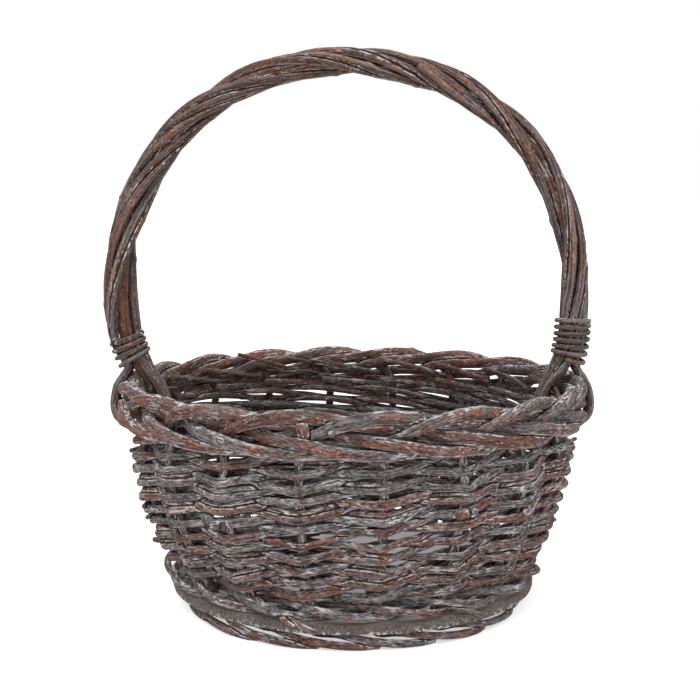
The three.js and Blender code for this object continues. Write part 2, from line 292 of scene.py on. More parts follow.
# The narrowing rings of each kind of end: their size, and how many radii forward they lie
ENDS = {
    "cut": ((0.9, 0.16), (0.78, 0.22), (0.3, 0.26)),
    "worn": ((0.93, 0.25), (0.75, 0.45), (0.3, 0.52)),
    "tip": ((0.8, 0.5), (0.5, 0.9), (0.2, 1.1)),
}


class Rod:
    """One willow rod: its path, the half width and half height along it, and its colour."""

    def __init__(self, rng, path, width, height=None, warm=0.3, dark=0.5, bumps=1.0,
                 kink=0.0, start="cut", end="cut"):
        self.path = path
        count = len(path)
        self.width = np.broadcast_to(np.asarray(width, float), (count,)).copy()
        self.height = self.width.copy() if height is None else np.asarray(height, float).copy()
        self.rng = rng
        self.warm = warm
        self.dark = dark
        self.bumps = bumps
        self.kink = np.broadcast_to(np.asarray(kink, float), (count,))
        self.ends = (start, end)


def directions(path):
    along = np.gradient(path, axis=0)
    return along / norm(along, axis=1)[:, None]


def facing(path, centre):
    """The directions along, outward from a centre and upward at each point."""
    along = directions(path)
    out = path - centre
    out -= along * np.sum(out * along, axis=1)[:, None]
    out /= np.maximum(norm(out, axis=1), 1e-6)[:, None]
    return along, out, np.cross(along, out)


def carried(path):
    """The directions along a path, turned as little as they can be."""
    along = directions(path)
    first = np.cross(along[0], [0.0, 0.0, 1.0])
    if norm(first) < 0.1:
        first = np.cross(along[0], [0.0, 1.0, 0.0])
    out = [unit(first)]
    for way in along[1:]:
        out.append(unit(out[-1] - way * float(np.dot(out[-1], way))))
    out = np.array(out)
    return along, out, np.cross(along, out)


def bark(rod):
    """The share by which each point of the rod stands out or in: ridges, swellings and buds."""
    rng = rod.rng
    count = len(rod.path)
    theta = TURN * np.arange(SIDES) / SIDES
    along = np.arange(count) * RING_STEP
    share = np.zeros((count, SIDES))
    for wave, size in RIDGES:
        phase = rng.uniform(0, TURN) + wander(rng, count, *RIDGE_DRIFT)
        strength = size * (1 + wander(rng, count, *RIDGE_CHANGE))
        share += strength[:, None] * np.cos(wave * theta[None, :] + phase[:, None])
    share += wander(rng, count, *SWELLING)[:, None]
    at = rng.uniform(*FIRST_BUD)
    turn = rng.uniform(0, TURN)
    while at < along[-1] - LAST_BUD:
        near = np.exp(-(((along - at) / rng.uniform(*BUD_REACH)) ** 2))
        side = np.exp(-((1 - np.cos(theta - turn)) / BUD_WIDTH))
        bud = BUD_COLLAR + rng.uniform(*BUD_HEIGHT) * side[None, :]
        share += rod.bumps * near[:, None] * bud
        at += rng.uniform(*BUD_APART)
        turn += BUD_TURN + rng.uniform(-0.3, 0.3)
    return share


def stack_faces(base, rings, sides):
    """The faces between rings of points that follow on a first one, closed at both ends."""
    faces = []
    for start in range(base, base + (rings - 1) * sides, sides):
        for i in range(sides):
            j = (i + 1) % sides
            faces.append((start + i, start + j, start + sides + j, start + sides + i))
    faces.append(tuple(base + i for i in reversed(range(sides))))
    faces.append(tuple(base + (rings - 1) * sides + i for i in range(sides)))
    return faces


def add_rod(rod, number, store, centre):
    """Adds one closed rod to a store of points and faces."""
    path = rod.path
    along, out, up = carried(path) if centre is None else facing(path, centre)
    share = bark(rod)
    theta = TURN * np.arange(SIDES) / SIDES
    width = rod.width[:, None] * (1 + share) * np.cos(theta)
    height = rod.height[:, None] * (1 + share) * np.sin(theta)
    ring = path[:, None] + out[:, None] * width[:, :, None] + up[:, None] * height[:, :, None]
    radius = 0.5 * (rod.width + rod.height)
    across = [radius[:, None] * np.cos(theta), radius[:, None] * np.sin(theta)]
    far = np.broadcast_to((np.arange(len(path)) * RING_STEP)[:, None], share.shape)
    grain = np.stack(across + [far], axis=2)
    grain = grain + np.array([rod.rng.uniform(0, GRAIN_SHIFT) for _ in range(3)])
    rings = list(zip(ring, grain, rod.kink))
    rings = closed_end(rings, path[0], -along[0], radius[0], rod.ends[0], True)
    rings = closed_end(rings, path[-1], along[-1], radius[-1], rod.ends[1], False)
    add_rings(rod, number, rings, store)


def add_rings(rod, number, rings, store):
    """Adds the points, values and faces of a rod's rings to the store."""
    base = len(store["points"])
    total = len(rings)
    for points, grain, kink in rings:
        store["points"].extend(points)
        store["grain"].extend(grain)
        store["kink"].extend([kink] * SIDES)
    places = np.linspace(0, 1, np.size(rod.warm))
    warm = np.interp(np.linspace(0, 1, total), places, np.atleast_1d(rod.warm))
    warm = np.clip(warm + wander(rod.rng, total, *WARM_CHANGE), 0, 1)
    dark = np.clip(rod.dark + wander(rod.rng, total, *DARK_CHANGE), 0, 1)
    store["warm"].extend(np.repeat(warm, SIDES))
    store["dark"].extend(np.repeat(dark, SIDES))
    store["rod"].extend([number] * (total * SIDES))
    start_cut, end_cut = (end == "cut" for end in rod.ends)
    store["faces"].extend(stack_faces(base, total, SIDES))
    for i in range(total - 1):
        is_end = (i < 2 and start_cut) or (i > total - 4 and end_cut)
        store["end"].extend([is_end] * SIDES)
    store["end"].extend([start_cut, end_cut])


def closed_end(rings, centre, way, radius, kind, at_start):
    """Adds the narrowing rings of one end of a rod."""
    points, grain, kink = rings[0] if at_start else rings[-1]
    for scale, forward in ENDS[kind]:
        moved = centre + (points - centre) * scale + way * (radius * forward)
        ring = (moved, grain, kink)
        rings = [ring] + rings if at_start else rings + [ring]
    return rings


# The inside is darkened with painted shade. In the border, the inside reaches further out.
INNER_SHIFT = 5.0
INNER_FADE = 3.0
INNER_START = 0.2
# The stakes' bends into the border, on the inner side, get more of that painted shade: by how
# much, and between which heights.
HOOK_SHADE = 0.2
HOOK_LOW, HOOK_HIGH = -4.0, 10.0


def inner_share(radius, z):
    """How far inside the basket points lie."""
    edge = ring_at(z) + INNER_SHIFT * (z > BORDER_BASE)
    return np.clip((edge - radius) / INNER_FADE + INNER_START, 0, 1)


def hook_share(radius, z):
    """How far points of a stake lie in its bend into the border, on the inner side."""
    bend = faded(z - BORDER_BASE - HOOK_LOW, 4) * faded(HOOK_HIGH - (z - BORDER_BASE), 3)
    return bend * faded(ring_at(z) + STAKE_RADIUS - radius, STAKE_RADIUS)


def wash_share(radius, z):
    """How far points of a stake lie on its outer side between the rows."""
    return faded(BORDER_BASE - z, 4) * faded(z - WALING_LEVEL, 4) * faded(radius - ring_at(z), 1)


def new_mesh(name, points, faces):
    mesh = bpy.data.meshes.new(name)
    mesh.from_pydata((np.array(points) * MM).tolist(), [], faces)
    return mesh


def add_object(name, data):
    thing = bpy.data.objects.new(name, data)
    bpy.context.scene.collection.objects.link(thing)
    return thing


def paint(mesh, label, values):
    """Gives each point of a mesh a value that its material reads."""
    layer = mesh.attributes.new(label, "FLOAT", "POINT")
    layer.data.foreach_set("value", np.array(values, float))


pieces = []


def make_piece(name, rods, centre=None):
    """One object from one or more rods, in place of the node of the same name."""
    store = defaultdict(list)
    for number, rod in enumerate(rods + sprigs(name)):
        add_rod(rod, number, store, centre)
    points = np.array(store["points"])
    points[:, 2] = np.maximum(points[:, 2], WORN_LEVEL)
    mesh = new_mesh(name + "_wicker", points, store["faces"])
    mesh.polygons.foreach_set("use_smooth", [not end for end in store["end"]])
    for label in ("warm", "dark", "kink"):
        paint(mesh, label, store[label])
    if not name.startswith(("handle", "binding")):
        # How far inside each point lies, for the painted shade inside the basket and at the
        # stakes' bends
        place = np.hypot(points[:, 0], points[:, 1]), points[:, 2]
        inner = inner_share(*place)
        if name.startswith("stake"):
            inner += HOOK_SHADE * hook_share(*place)
            paint(mesh, "wash", wash_share(*place))
        paint(mesh, "inner", inner)
    grain = mesh.attributes.new("grain", "FLOAT_VECTOR", "POINT")
    grain.data.foreach_set("vector", np.array(store["grain"], float).ravel())
    piece = add_object(name + "_wicker", mesh)
    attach(piece, "root")
    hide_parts(name)
    pieces.append((piece, store))


# The stakes, with the foot and the border
STAKE_TAPER = 0.8
BORDER_SWELL = 1.18
BORDER_TIP = 0.95
BORDER_REACH = 11.0
FOOT_LOW = FOOT_ROD_RADIUS * cos(pi / 6)
FOOT_HIGH = FOOT_HEIGHT - CLEARANCE - FOOT_ROD_RADIUS
FOOT_TURNS = (
    (2.02, 1.0, -0.14), (1.8, 1.3, -0.06), (1.45, 1.45, 0.16), (1.0, 1.45, 0.5), (0.65, 1.1, 0.85),
    (0.35, 0.2, 1.05), (0.08, -0.2, 1.0),
)
FOOT_THIN = (0.55, 0.85, 0.95, 0.95, 0.9, 0.9, 1.0)
# The foot is drawn in at both sides of the basket, and reaches further at its front and back.
FOOT_DRAWN_IN = 6.5
BORDER_TURNS = (
    (0.04, 0.31, 0.81), (0.09, 0.77, 1.27), (0.25, 1.66, 1.84), (0.51, 2.15, 2.66),
    (0.73, 2.04, 3.17), (1.16, 1.36, 3.22), (1.44, 0.92, 2.7), (1.8, 1.28, 2.24),
    (2.15, 0.57, 2.43), (2.34, 0.4, 1.97), (2.56, 0.96, 1.29), (2.85, 1.85, 1.1),
    (3.11, 2.24, 0.85), (3.5, 2.25, 0.24), (3.87, 2.02, -0.03), (4.14, 1.73, -0.07),
    (4.45, 1.07, -0.01),
)


def stake_rod(k):
    rng = random.Random(STAKE_SEED + k)
    turn = stake_angle(k)
    points, radii = [], []
    uneven = rng.uniform(-0.12, 0.12)
    build = rng.uniform(0.88, 1.08)
    size = FOOT_ROD_RADIUS * rng.uniform(0.9, 1.05)
    for (steps, out, rise), thin in zip(FOOT_TURNS, FOOT_THIN):
        angle = turn + (steps + uneven * (steps > 1)) * SPACING
        drawn_in = FOOT_DRAWN_IN * cos(angle) ** 4
        radius = HOLE_CIRCLE + (out + uneven) * 2 * FOOT_ROD_RADIUS - drawn_in
        z = FOOT_LOW + (FOOT_HIGH - FOOT_LOW) * rise
        points.append(polar(angle, radius, max(z, size * thin)))
        radii.append(size * thin)
    points.append(polar(turn, HOLE_CIRCLE, FOOT_HEIGHT - CLEARANCE))
    radii.append(STAKE_RADIUS)
    for i in range(WALL_STEPS + 1):
        z = lerp(FLARE_START, BORDER_BASE - CLEARANCE, i / WALL_STEPS)
        points.append(polar(turn, ring_at(z), z))
        radii.append(STAKE_RADIUS * lerp(1.0, STAKE_TAPER, i / WALL_STEPS))
    thick = 2 * STAKE_RADIUS
    for steps, out, up in BORDER_TURNS:
        radius, z = RIM_CIRCLE + out * thick, BORDER_BASE + up * thick
        points.append(polar(turn + steps * SPACING, radius, z))
        swell = lerp(STAKE_TAPER, BORDER_SWELL, steps / 0.5) if steps < 0.5 else BORDER_SWELL
        thinned = lerp(BORDER_SWELL, BORDER_TIP, (steps - 2.5) / 2)
        radii.append(STAKE_RADIUS * build * min(swell, thinned))
    path = smooth(points)
    path = relaxed(path, faded(path[:, 2] - BORDER_BASE - thick, thick), BORDER_REACH)
    radius = even_values(points, radii, len(path))
    return Rod(rng, path, radius, warm=rng.uniform(0.2, 0.95), dark=rng.uniform(0.3, 0.75),
               start="tip")


# Thin tips are tucked in between the border and the wall: how many spaces past the stake, how far
# out and how far up each goes.
TUCKED_TIPS = (
    ((1.25, -2.6, 14.0), (0.95, -1.6, 12.0), (0.62, -0.8, 9.3), (0.15, -3.6, 6.0)),
    ((1.0, 3.4, 7.2), (0.75, 1.6, 6.6), (0.5, 1.2, 6.4), (0.24, -0.4, 6.8)),
)
TIP_RADIUS = (1.4, 2.0)
TIP_TAPER = 0.75


def tucked_tips(k):
    rng = random.Random(TIP_SEED + k)
    rods = []
    for places in TUCKED_TIPS:
        far, out, up = rng.uniform(-0.12, 0.12), rng.uniform(-0.4, 0.4), rng.uniform(-0.6, 0.8)
        points = []
        for steps, reach, rise in places:
            radius, z = RIM_CIRCLE + reach + out, BORDER_BASE + rise + up
            points.append(polar(stake_angle(k + steps + far), radius, z))
        path = smooth(points)
        radius = rng.uniform(*TIP_RADIUS)
        thick = np.linspace(radius, TIP_TAPER * radius, len(path))
        rods.append(Rod(rng, path, thick, warm=rng.uniform(0.4, 1.0), dark=rng.uniform(0.2, 0.6),
                        bumps=0.6))
    return rods


# The three waling rods pass a stake at 1 or -0.5 of their swing.
WALING_APART = 1.5
WALING_STEPS = 6


def waling_rod(rod):
    rng = random.Random(WALING_SEED + rod)
    apart = (STAKE_RADIUS + WALING_RADIUS + CLEARANCE) / lean_at(FLARE_START + WALING_RADIUS)
    swing = 2 * apart / WALING_APART
    shift = apart - swing / 2
    points = []
    first = rod + 2
    for i in range(STAKES * WALING_STEPS + 1):
        at = min(max(first + i / WALING_STEPS, first + TUCK / 2), first + STAKES - TUCK / 2)
        turn = TURN / 6 - TURN * (at - rod) / WALING_RODS
        z = WALING_LEVEL + WALING_SWELL * sin(turn)
        points.append(polar(stake_angle(at), ring_at(z) + shift + swing * cos(turn), z))
    path = smooth(points)
    radius = np.linspace(WALING_RADIUS * 1.08, WALING_RADIUS * 0.86, len(path))
    return Rod(rng, path, radius, warm=rng.uniform(0.2, 0.5), dark=rng.uniform(0.4, 0.6))


# Cut stubs and thin tips that stand out of the rods: the piece they belong to, the radius at both
# ends, how reddish they are and the places they pass. One that widens has a round, worn top.
SPRIGS = (
    ("stake_14", 3, 3.4, 0.7,
     ((-22.5, -126.5, 112), (-24.4, -130, 119.5), (-26.2, -131.5, 127.4))),
    ("stake_10", 2, 1.6, 0.5,
     ((-116.5, -43, 113.5), (-123.5, -28, 111.5), (-127.5, -10, 109.5))),
    ("stake_06", 1.2, 0.9, 1,
     ((-44.5, 111.5, 130), (-26.5, 117, 125.8), (-9.6, 120, 120.8))),
    ("stake_07", 1.3, 0.9, 0.9,
     ((-76, 92.5, 134.5), (-59, 104.5, 128.5), (-41, 112.8, 122))),
    ("stake_05", 1.3, 1, 0.8,
     ((-50, 108.5, 121), (-25, 117.2, 118), (-0.7, 120, 114.9))),
    ("stake_04", 1.3, 0.9, 0.9,
     ((22, 117.5, 127.5), (42, 112, 124), (60, 104, 118.5))),
    ("waling_rod_1", 1.7, 1.3, 0.7,
     ((-52, -92, 24.5), (-46, -98.5, 22), (-38, -105.5, 18.8), (-31, -110.2, 15.2))),
    ("waling_rod_2", 1.9, 1.5, 0.6,
     ((-43, -99, 21), (-36, -104.5, 18.8), (-28, -109.3, 15.6), (-20, -111.6, 12.2))),
    ("waling_rod_3", 1.6, 1.2, 0.5,
     ((44, -97, 24.5), (54, -96, 21.5), (63, -92, 18.2), (70, -87.5, 14.5))),
    ("handle_rod_4", 2, 1.1, 0.5,
     ((38.1, -9.9, 315.8), (48.5, -9.9, 307.9), (58.1, -9.3, 300.4),
      (67.1, -8.6, 293.7), (76, -7.4, 287.6), (86, -4.8, 279.6))),
    ("handle_rod_2", 1.4, 1.2, 0.7,
     ((-141, -3, 154), (-142.6, -3.6, 158), (-143.9, -4, 162.5))),
)


def sprigs(name):
    rods = []
    for owner, butt, tip, warm, places in SPRIGS:
        if owner == name:
            path = smooth(places)
            rng = random.Random(int(100 * butt))
            rods.append(Rod(rng, path, np.linspace(butt, tip, len(path)), warm=warm, dark=0.3,
                            bumps=0.5, end="worn" if tip > butt else "cut"))
    return rods


# The legs of the handle's bow and of the rods round it
LEG_TURNS = (
    (0.83, -0.165), (1.67, -CORE_TUCK), (2.5, -CORE_TUCK), (3.5, 0.009), (4.5, 0.33), (5.5, 0.57),
    (6.5, 0.72), (7.5, 0.83), (8.5, 0.9), (10, 0.97),
)
OUTER_TURNS = (
    (5.36, -1.5), (3.81, -0.5), (2.03, -0.05), (0.72, 0), (-0.59, -0.38), (-1.78, -1.74),
)
INNER_TURNS = ((3.81, 0), (1.7, -0.78), (-0.6, -0.85))
WRAP_DIAMETER = 2 * WRAP_RADIUS


def bow_leg():
    leg = []
    for share in (0, 0.25, 0.5, 0.75, 1):
        z = lerp(CORE_TIP, BORDER_BASE - 2 * CLEARANCE, share)
        leg.append(np.array([ring_at(z), 0, z]))
    for up, share in LEG_TURNS:
        z = BORDER_BASE + up * 2 * STAKE_RADIUS
        leg.append(np.array([RIM_CIRCLE + share * HANDLE_SPREAD, 0, z]))
    return leg


def leg_at(z):
    leg = bow_leg()
    return float(np.interp(z, [point[2] for point in leg], [point[0] for point in leg]))


# The weavers
OUTER_DIP = 1.9
INNER_RISE = 1.6
UNEVEN = 1.1
OUTER_KINK = (1.8, 10.0)
INNER_KINK = 6.0
WEAVER_BUTT = 2.6
WEAVER_TIP = 2.05
WEAVER_DRIFT = (14, 0.4)
WEAVER_CHANGE = (30, 0.07)
WEAVER_TAIL = (3, 8)
TAIL_RISE = 0.6
# A weaver is a little less high than wide, and pressed flat where it passes a stake.
HEIGHT_SHARE = 0.93
FLAT_AT_STAKE = 0.1
FLAT_REACH = 4.5
KINK_REACH = 2.2
# The stroke at which a weaver is pieced, and its extra thin rods: their first strokes, how many
# they pass, and their size
PIECED_AT = (9, 14)
STRAND_STARTS = ((2, 6), (11, 15))
STRAND_STROKES = (3, 6)
STRAND_LIFT = 3.3
STRAND_RADIUS = 1.65
STRAND_TAPER = 0.85
# The weavers' wide sides face this point.
WEAVER_CENTRE = np.array([0, 0, 60])


def weaver_posts(first):
    """The stakes and handle legs that one weaver passes, and on which side."""
    posts = []
    for k in range(first, first + STROKES + 1):
        side = 1 if (k - first) % 2 == 1 else -1
        posts.append((stake_angle(k), k, side, False))
        if k % (STAKES // 2) == 0:
            posts.append((stake_angle(k) + CORE_ANGLE, k, side, True))
    return posts


def weaver_points(first, posts, rng):
    slant = cos(atan(2 * (STAKE_RADIUS + WEAVER_WIDTH) / (HOLE_CIRCLE * SPACING)))
    points = []
    dip = 0.0
    for angle, k, side, is_core in posts:
        z = RANDING_START + ROW_PITCH * (angle - stake_angle(first)) / SPACING
        post = core_radius_at(z) if is_core else STAKE_RADIUS
        apart = (post + WEAVER_WIDTH + CLEARANCE) / lean_at(z) / slant
        if not is_core:
            free = min((k - first) / 2, (first + STROKES - k) / 2, 1.0)
            dip = free * ((OUTER_DIP if side > 0 else -INNER_RISE) + rng.uniform(-UNEVEN, UNEVEN))
        ring = leg_at(z) if is_core else ring_at(z)
        points.append(polar(angle, ring + side * apart, z - dip))
    return points


def beyond(end, before, reach):
    """The place a reach past the end of a path."""
    return end + unit(end - before) * reach


def strand(points, sides, butt, tip, rng, lift=0.0):
    """One rod of the wall through its places at the posts, with a short tail at both ends."""
    part = [point + np.array([0, 0, lift]) for point in points]
    start = beyond(part[0], part[1], rng.uniform(*WEAVER_TAIL)) + np.array([0, 0, TAIL_RISE])
    part = [start] + part
    part.append(beyond(part[-1], part[-2], rng.uniform(*WEAVER_TAIL)))
    reaches = [INNER_KINK]
    for side in sides:
        reaches.append(rng.uniform(*OUTER_KINK) if side > 0 else INNER_KINK)
    reaches.append(INNER_KINK)
    path = rounded(part, reaches)
    count = len(path)
    path[:, 2] += wander(rng, count, *WEAVER_DRIFT)
    thick = np.linspace(butt, tip, count) * (1 + wander(rng, count, *WEAVER_CHANGE))
    flat = FLAT_AT_STAKE * np.exp(-(distance_to(path, part[1:-1]) / FLAT_REACH) ** 2)
    outer = [point for point, side in zip(part[1:-1], sides) if side > 0]
    kink = np.exp(-(distance_to(path, outer) / KINK_REACH) ** 2)
    return Rod(rng, path, thick * (1 - flat), thick * (HEIGHT_SHARE + flat),
               warm=rng.uniform(0.0, 0.95), dark=rng.uniform(0.1, 0.7), kink=kink)


def distance_to(path, points):
    gaps = norm(path[:, None, :] - np.array(points)[None, :, :], axis=2)
    return gaps.min(axis=1)


def weaver_rods(first):
    rng = random.Random(WEAVER_SEED + first)
    posts = weaver_posts(first)
    points = weaver_points(first, posts, rng)
    sides = [side for _, _, side, _ in posts]
    size = 1 + rng.uniform(-0.07, 0.07)
    butt, tip = WEAVER_BUTT * size, WEAVER_TIP * size
    cut = rng.randint(*PIECED_AT)
    rods = [
        strand(points[: cut + 1], sides[: cut + 1], butt, tip, rng),
        strand(points[cut:], sides[cut:], butt, tip, rng),
    ]
    for low in [rng.randint(*start) for start in STRAND_STARTS]:
        high = low + rng.randint(*STRAND_STROKES)
        thin = STRAND_RADIUS * rng.uniform(0.8, 1.15)
        tip = thin * STRAND_TAPER
        rods.append(strand(points[low:high], sides[low:high], thin, tip, rng, STRAND_LIFT))
    return rods


# The handle
def bow_points():
    leg = bow_leg()
    arch = []
    for i in range(ARCH_STEPS + 1):
        angle = pi * i / ARCH_STEPS
        radius = HANDLE_RADIUS + HANDLE_SHOULDER * sin(2 * angle) ** 2
        z = HANDLE_CENTRE + radius * sin(angle)
        arch.append(np.array([radius * cos(angle), 0, z]))
    mirrored = [point * np.array([-1, 1, 1]) for point in reversed(leg)]
    points = leg + arch + mirrored
    for point in points:
        rise = min(max((point[2] - BORDER_BASE - LEAN_FOOT) / (LEAN_FULL - LEAN_FOOT), 0.0), 1.0)
        point[0] -= HANDLE_LEAN * rise * rise * (3 - 2 * rise)
    return points


BOW = smooth(bow_points(), 0.5)
BOW_AT = lengths_along(BOW)
BOW_LENGTH = BOW_AT[-1]
BOW_NUDGE = 0.002
SIDEWAYS = np.array([0.0, 1.0, 0.0])


def on_bow(share):
    return place_at(share * BOW_LENGTH, BOW_AT, BOW)


def bow_share_at(height):
    half = len(BOW) // 2
    i = int(np.argmax(BOW[:half, 2] > height))
    return BOW_AT[i] / BOW_LENGTH


def around_bow(share, turn, distance):
    """A place beside the bow: how far along it, how far round it and how far from it."""
    along = unit(on_bow(share + BOW_NUDGE) - on_bow(share - BOW_NUDGE))
    outer = np.cross(SIDEWAYS, along)
    outward = outer * cos(turn) + SIDEWAYS * sin(turn)
    return on_bow(share) + outward * distance


WRAP_DISTANCE = CORE_RADIUS + WRAP_RADIUS + CLEARANCE
BORDER_DEPTH = max(out for _, out, _ in BORDER_TURNS) * 2 * STAKE_RADIUS
OUTSIDE_BORDER = RIM_CIRCLE + BORDER_DEPTH + STAKE_RADIUS + CLEARANCE + WRAP_RADIUS
INSIDE_CORE = RIM_CIRCLE - CORE_TUCK * HANDLE_SPREAD - CORE_NECK_RADIUS - CLEARANCE - WRAP_RADIUS
WRAP_GAP = WRAP_DIAMETER + CLEARANCE
WRAP_STEPS = 14
WRAP_DRIFT = (5, 0.28)
WRAP_SWELL = (4, 0.9)


def leg_points(turn):
    if cos(turn) > 0.1:
        y = sin(turn) / sin(TURN / WRAP_PLACES) * WRAP_GAP
        return [leg_point(OUTSIDE_BORDER, y, step) for step in OUTER_TURNS]
    place = round(turn / TURN * WRAP_PLACES)
    y = ((WRAP_PLACES + 1) / 2 - place) * WRAP_GAP * INNER_SPREAD
    return [leg_point(INSIDE_CORE, y, step) for step in INNER_TURNS]


def leg_point(radius, y, step):
    up, out = step
    return np.array([radius + out * WRAP_DIAMETER, y, BORDER_BASE + up * WRAP_DIAMETER])


# The left leg's bundle is the looser of the two, most of all at this share of the bow.
LEFT_FULLEST = 0.79
LEFT_SWELL = 1.7
# The rods round the bow part a little there, and they wind less at the legs than over the top.
GAP_PUSH = 0.26
TWIST_EASE = 0.25
# Over the top their bark is browner than at the legs.
TOP_WARMTH = 0.35


def wrap_rod(place, number):
    rng = random.Random(WRAP_SEED + number)
    start_turn = TURN * place / WRAP_PLACES
    foot = bow_share_at(BORDER_BASE + BINDING_FOOT - BUNDLE_MARGIN)
    steps = int(WRAP_TURNS * WRAP_STEPS)
    points = list(reversed(leg_points(start_turn)))
    drift = wander(rng, steps + 1, *WRAP_DRIFT, step=1)
    swell = np.abs(wander(rng, steps + 1, *WRAP_SWELL, step=1))
    away = (place - EMPTY_PLACE + WRAP_PLACES // 2) % WRAP_PLACES - WRAP_PLACES // 2
    push = copysign(GAP_PUSH * max(4 - abs(away), 0) / 3, away)
    for i in range(steps + 1):
        at = i / steps
        free = sin(pi * at) ** 0.5 if 0 < i < steps else 0.0
        share = lerp(foot, 1 - foot, at)
        near_left = exp(-(((share - LEFT_FULLEST) / 0.1) ** 2)) * (i < steps)
        turned = at - TWIST_EASE * sin(TURN * at) / TURN
        turn = start_turn + TURN * WRAP_TURNS * turned + drift[i] * free + push * near_left
        distance = WRAP_DISTANCE + LEFT_SWELL * near_left + (swell[i] - 0.3) * free
        points.append(around_bow(share, turn, distance))
    end_turn = (-(start_turn + TURN * WRAP_TURNS)) % TURN
    points.extend(point * np.array([-1, -1, 1]) for point in leg_points(end_turn))
    path = smooth(points)
    size = WRAP_RADIUS * rng.uniform(0.93, 1.12)
    thick = np.linspace(size * 1.1, size * 0.93, len(path))
    if number % 2:
        thick = thick[::-1]
    rise = (path[:, 2] - BORDER_BASE) / (BOW[:, 2].max() - BORDER_BASE)
    warm = rng.uniform(0.35, 0.75) + TOP_WARMTH * (rise - 0.6)
    return Rod(rng, path, thick, warm=warm, dark=rng.uniform(0.35, 0.7))


def bow_rod():
    rng = random.Random(BOW_SEED)
    path = smooth(bow_points())
    radius = np.array([core_radius_at(point[2]) for point in path])
    return Rod(rng, path, radius, warm=1.05, dark=0.6, bumps=0.7)


BINDING_HUG = 0.4
BINDING_DISTANCE = WRAP_DISTANCE + WRAP_RADIUS + CLEARANCE + BINDING_RADIUS - BINDING_HUG
BINDING_STEPS = 24


def binding_rod(turns, pitch, is_left, tail):
    rng = random.Random(BINDING_SEED + turns)
    foot = bow_share_at(BORDER_BASE + BINDING_FOOT)
    points = []
    for i in range(turns * BINDING_STEPS + 1):
        climbed = foot + pitch * i / BINDING_STEPS / BOW_LENGTH
        share = 1 - climbed if is_left else climbed
        turn = TURN * (i / BINDING_STEPS + BINDING_START) * (-1 if is_left else 1)
        points.append(around_bow(share, turn, BINDING_DISTANCE))
    points.insert(0, beyond(points[0], points[1], SHORT_TAIL))
    points.append(beyond(points[-1], points[-2], tail))
    path = smooth(points, 1.2)
    return Rod(rng, path, BINDING_RADIUS, warm=0.45, dark=0.6, bumps=0.5)


# Materials. A pair of tones is for the dark and the light streaks.
GREY = ("2a2526", "9f9899")
BROWN = ("352523", "987c76")
RED = ("472923", "ae7463")
AMBER = ("5f4031", "bc967a")
DUST = ("332f2e", "948d8c")
# Colours for random dark stretches, a painted highlight on undersides, painted shade inside the
# basket, and cracks with painted shade in crevices
SHADE, UNDERSIDE_HIGHLIGHT, INSIDE_SHADE, CRACK_AND_SHADE = "2b2524", "b7a19a", "1a1615", "1c1614"
CHALK, FLECK = "e6e3e3", "e8e6e6"


def tone(hex_code):
    """A colour from its written form, in the renderer's linear values."""
    parts = [int(hex_code[i:i + 2], 16) / 255 for i in (0, 2, 4)]
    return [p / 12.92 if p <= 0.04045 else ((p + 0.055) / 1.055) ** 2.4 for p in parts] + [1.0]


class Nodes:
    """Adds and links the nodes of the world or of a material."""

    def __init__(self, owner):
        owner.use_nodes = True
        self.tree = owner.node_tree

    def add(self, kind, inputs=None, **settings):
        node = self.tree.nodes.new("ShaderNode" + kind)
        for key, value in settings.items():
            setattr(node, key, value)
        for key, value in (inputs or {}).items():
            self.plug(node.inputs[key], value)
        return node

    def plug(self, socket, value):
        if hasattr(value, "links"):
            self.tree.links.new(value, socket)
        else:
            socket.default_value = tone(value) if isinstance(value, str) else value

    def attribute(self, name, output="Fac"):
        return self.add("Attribute", attribute_name=name).outputs[output]

    def noise(self, vector, scale, detail=3.0, rough=0.6):
        inputs = {"Vector": vector, "Scale": scale, "Detail": detail, "Roughness": rough}
        return self.add("TexNoise", inputs).outputs["Fac"]

    def ramp(self, value, low, high):
        inputs = {"Value": value, "From Min": low, "From Max": high}
        node = self.add("MapRange", inputs, interpolation_type="SMOOTHSTEP")
        return node.outputs["Result"]

    def math(self, operation, a, b=0.0):
        return self.add("Math", {0: a, 1: b}, operation=operation).outputs[0]

    def times(self, a, b):
        return self.math("MULTIPLY", a, b)

    def blend(self, *terms):
        """The sum of some values, each times its own weight."""
        total = 0.0
        for value, weight in terms:
            inputs = {0: value, 1: weight, 2: total}
            total = self.add("Math", inputs, operation="MULTIPLY_ADD").outputs[0]
        return total

    def mix(self, share, a, b):
        node = self.add("Mix", data_type="RGBA")
        for key, value in (("Factor", share), ("A", a), ("B", b)):
            self.plug(node.inputs[key], value)
        return node.outputs["Result"]


class Finish(Nodes):
    """One material with its shader."""

    def __init__(self, name, roughness=0.8, specular=0.2):
        self.material = bpy.data.materials.new(name)
        super().__init__(self.material)
        self.shader = self.tree.nodes["Principled BSDF"]
        self.dress("Roughness", roughness)
        self.dress("Specular IOR Level", specular)

    def dress(self, label, value):
        self.plug(self.shader.inputs[label], value)

    def bump(self, height, strength, distance):
        inputs = {"Height": height, "Strength": strength, "Distance": distance}
        self.dress("Normal", self.add("Bump", inputs).outputs["Normal"])


